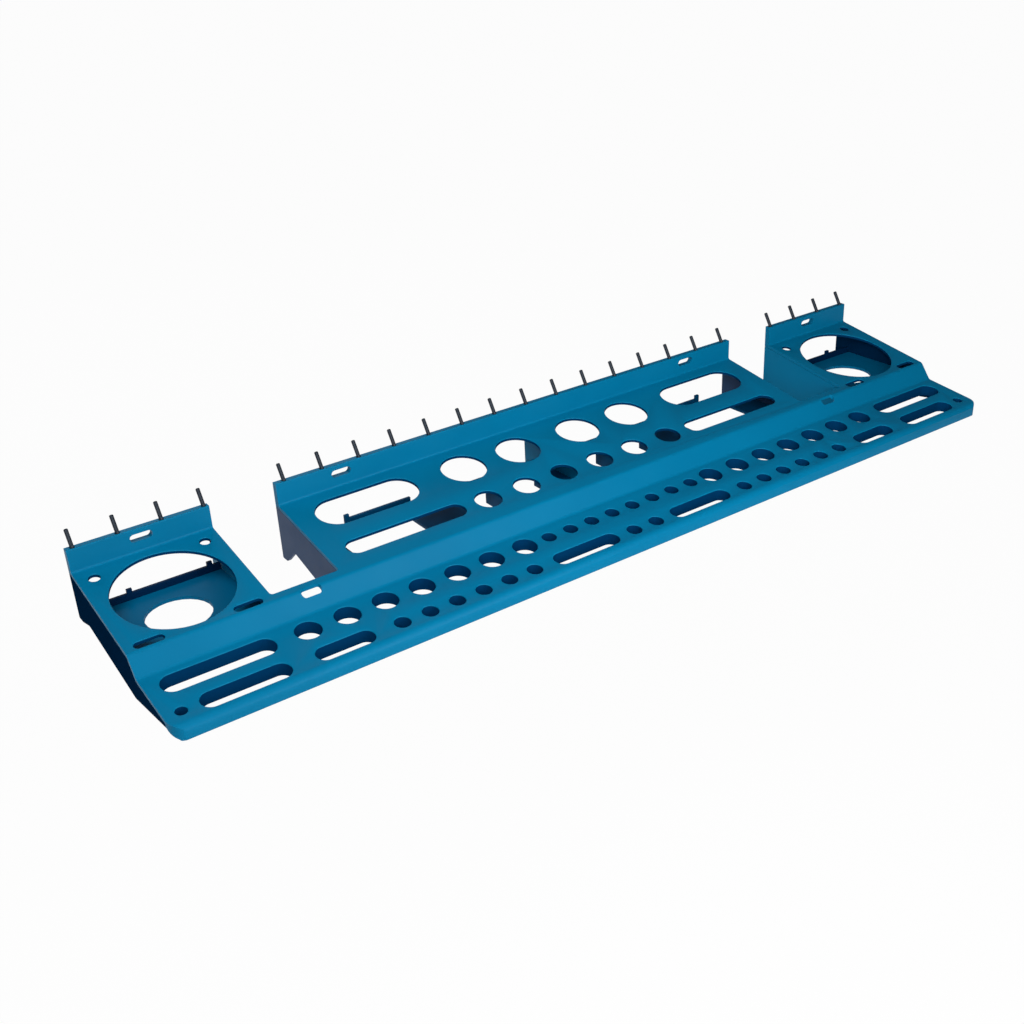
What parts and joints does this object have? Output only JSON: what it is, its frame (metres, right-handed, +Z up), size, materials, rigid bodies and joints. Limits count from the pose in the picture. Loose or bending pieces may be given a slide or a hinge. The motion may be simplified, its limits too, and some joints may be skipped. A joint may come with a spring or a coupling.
{
  "type": "wall tool rack",
  "caption": "Long stepped wall rack for hand tools, with round holes, slots, two open bays, lower guide shelves and hooked pins on its back edge.",
  "frame": {"origin": "on the flange's flat back face, at mid length and at the height of the screw slots", "axes": "+X along the rack's length to the right of someone facing its front; -Y out of the wall, towards the front lip; +Z up"},
  "size_m": [0.608, 0.136, 0.0637],
  "materials": {
    "deck_blue": "satin moulded",
    "wall_blue": "satin moulded",
    "guide_blue": "satin moulded",
    "pin_steel": "dark plated wire"
  },
  "bodies": {
    "root": {"deck": "deck_blue", "middle_gusset": "wall_blue", "end_wall_left": "wall_blue", "wing_bay_wall_left": "wall_blue", "centre_bay_wall_left": "wall_blue", "end_wall_right": "wall_blue", "wing_bay_wall_right": "wall_blue", "centre_bay_wall_right": "wall_blue", "wing_guide_left": "guide_blue", "centre_guide_left": "guide_blue", "wing_guide_right": "guide_blue", "centre_guide_right": "guide_blue", "guide_rib_left_1": "guide_blue", "guide_rib_left_2": "guide_blue", "guide_rib_right_1": "guide_blue", "guide_rib_right_2": "guide_blue", "pin_01": "pin_steel", "pin_02": "pin_steel", "pin_03": "pin_steel", "pin_04": "pin_steel", "pin_05": "pin_steel", "pin_06": "pin_steel", "pin_07": "pin_steel", "pin_08": "pin_steel", "pin_09": "pin_steel", "pin_10": "pin_steel", "pin_11": "pin_steel", "pin_12": "pin_steel", "pin_13": "pin_steel", "pin_14": "pin_steel", "pin_15": "pin_steel", "pin_16": "pin_steel", "pin_17": "pin_steel", "pin_18": "pin_steel", "pin_19": "pin_steel", "pin_20": "pin_steel", "pin_21": "pin_steel", "pin_22": "pin_steel", "pin_23": "pin_steel"}
  },
  "joints": []
}
